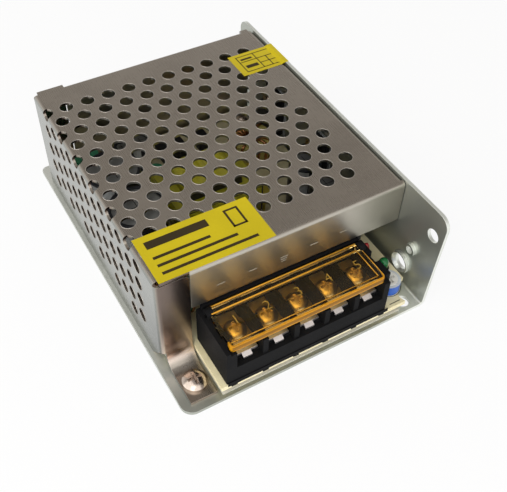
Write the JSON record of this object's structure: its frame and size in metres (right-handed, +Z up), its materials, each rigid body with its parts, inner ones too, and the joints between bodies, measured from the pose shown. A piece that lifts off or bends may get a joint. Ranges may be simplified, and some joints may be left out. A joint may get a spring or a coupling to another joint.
{
  "type": "mesh case switching power supply",
  "caption": "Enclosed power supply: folded sheet base with one tall wall, cover punched with round holes, and a barrier terminal block with clamping screws under a hinged clear lid.",
  "frame": {"origin": "centre of the footprint, on the underside of the base plate", "axes": "+Z up; the terminals face -Y along the case's length; the tall wall stands at +X"},
  "size_m": [0.0781, 0.11, 0.0361],
  "materials": {
    "zinc_sheet": "bright zinc-plated sheet steel",
    "cover_sheet": "brushed warm grey sheet steel",
    "plated_screw": "nickel-plated steel",
    "film_sheet": "translucent polyester film",
    "board": "cream single-sided circuit board",
    "block_black": "black moulded plastic",
    "tinned_metal": "tin-plated steel",
    "amber_clear": "clear amber plastic",
    "trimmer_blue": "blue plastic",
    "trimmer_white": "white plastic",
    "led_green": "green clear plastic",
    "fuse_glass": "clear tube with brass caps",
    "thermistor_green": "dark green dipped disc",
    "choke_green": "green coated ferrite ring",
    "copper_wire": "enamelled copper wire",
    "film_yellow": "yellow moulded box",
    "package_black": "black moulded package",
    "can_sleeve": "black sleeve on an aluminium can",
    "ceramic_blue": "blue dipped ceramic disc",
    "ferrite": "sintered dark ferrite",
    "bobbin_black": "black moulded bobbin",
    "tape_yellow": "yellow polyester tape",
    "pad_grey": "grey silicone pad",
    "core_white": "pale coated powder ring",
    "ceramic_tan": "tan dipped disc",
    "resistor_green": "green lacquered body",
    "label_yellow": "yellow paper label"
  },
  "bodies": {
    "case": {"base_chassis": "zinc_sheet", "mesh_cover": "cover_sheet", "foot_screw": "plated_screw", "cover_screws": "plated_screw", "insulation_sheet": "film_sheet", "circuit_board": "board", "board_screws": "plated_screw", "terminal_block": "block_black", "terminal_contacts": "tinned_metal", "trimmer_body": "trimmer_blue", "status_led": "led_green", "input_fuse": "fuse_glass", "inrush_thermistor": "thermistor_green", "choke_core": "choke_green", "choke_windings": "copper_wire", "film_capacitor": "film_yellow", "bridge_rectifier": "package_black", "bulk_capacitors": "can_sleeve", "safety_capacitors": "ceramic_blue", "transformer_core": "ferrite", "transformer_bobbin": "bobbin_black", "transformer_winding": "tape_yellow", "switch_transistor": "package_black", "output_rectifier": "package_black", "insulating_pads": "pad_grey", "transistor_screws": "plated_screw", "transistor_nuts": "plated_screw", "output_capacitors": "can_sleeve", "inductor_core": "core_white", "inductor_winding": "copper_wire", "control_chip": "package_black", "optocoupler": "package_black", "small_capacitors": "can_sleeve", "snubber_capacitors": "ceramic_tan", "power_resistors": "resistor_green", "front_label": "label_yellow", "date_label": "label_yellow"},
    "lid": {"terminal_lid": "amber_clear"},
    "trimmer": {"trimmer_rotor": "trimmer_white"},
    "clamp_1": {"clamp_plate_1": "tinned_metal"},
    "screw_1": {"terminal_screw_1": "tinned_metal"},
    "clamp_2": {"clamp_plate_2": "tinned_metal"},
    "screw_2": {"terminal_screw_2": "tinned_metal"},
    "clamp_3": {"clamp_plate_3": "tinned_metal"},
    "screw_3": {"terminal_screw_3": "tinned_metal"},
    "clamp_4": {"clamp_plate_4": "tinned_metal"},
    "screw_4": {"terminal_screw_4": "tinned_metal"},
    "clamp_5": {"clamp_plate_5": "tinned_metal"},
    "screw_5": {"terminal_screw_5": "tinned_metal"}
  },
  "joints": [
    {"name": "lid_hinge", "type": "hinge", "parent": "case", "child": "lid", "pos_m": [-0.0006, -0.0392, 0.0192], "axis": [-1, 0, 0], "range_deg": [0, 90]},
    {"name": "trimmer_turn", "type": "hinge", "parent": "case", "child": "trimmer", "pos_m": [0.0302, -0.0461, 0.0068], "axis": [0, 0, 1], "range_deg": [-105, 105]},
    {"name": "clamp_1_lift", "type": "slide", "parent": "case", "child": "clamp_1", "axis": [0, 0, 1], "range_m": [0, 0.0022]},
    {"name": "screw_1_turn", "type": "hinge", "parent": "clamp_1", "child": "screw_1", "pos_m": [-0.0196, -0.0444, 0.0144], "axis": [0, 0, 1], "range_deg": [0, 1321]},
    {"name": "clamp_2_lift", "type": "slide", "parent": "case", "child": "clamp_2", "axis": [0, 0, 1], "range_m": [0, 0.0022]},
    {"name": "screw_2_turn", "type": "hinge", "parent": "clamp_2", "child": "screw_2", "pos_m": [-0.0101, -0.0444, 0.0144], "axis": [0, 0, 1], "range_deg": [0, 1321]},
    {"name": "clamp_3_lift", "type": "slide", "parent": "case", "child": "clamp_3", "axis": [0, 0, 1], "range_m": [0, 0.0022]},
    {"name": "screw_3_turn", "type": "hinge", "parent": "clamp_3", "child": "screw_3", "pos_m": [-0.0006, -0.0444, 0.0144], "axis": [0, 0, 1], "range_deg": [0, 1321]},
    {"name": "clamp_4_lift", "type": "slide", "parent": "case", "child": "clamp_4", "axis": [0, 0, 1], "range_m": [0, 0.0022]},
    {"name": "screw_4_turn", "type": "hinge", "parent": "clamp_4", "child": "screw_4", "pos_m": [0.0089, -0.0444, 0.0144], "axis": [0, 0, 1], "range_deg": [0, 1321]},
    {"name": "clamp_5_lift", "type": "slide", "parent": "case", "child": "clamp_5", "axis": [0, 0, 1], "range_m": [0, 0.0022]},
    {"name": "screw_5_turn", "type": "hinge", "parent": "clamp_5", "child": "screw_5", "pos_m": [0.0184, -0.0444, 0.0144], "axis": [0, 0, 1], "range_deg": [0, 1321]}
  ],
  "couplings": [
    {"joint": "screw_1_turn", "follows": "clamp_1_lift", "rad_per_m": 10472},
    {"joint": "screw_2_turn", "follows": "clamp_2_lift", "rad_per_m": 10472},
    {"joint": "screw_3_turn", "follows": "clamp_3_lift", "rad_per_m": 10472},
    {"joint": "screw_4_turn", "follows": "clamp_4_lift", "rad_per_m": 10472},
    {"joint": "screw_5_turn", "follows": "clamp_5_lift", "rad_per_m": 10472}
  ]
}
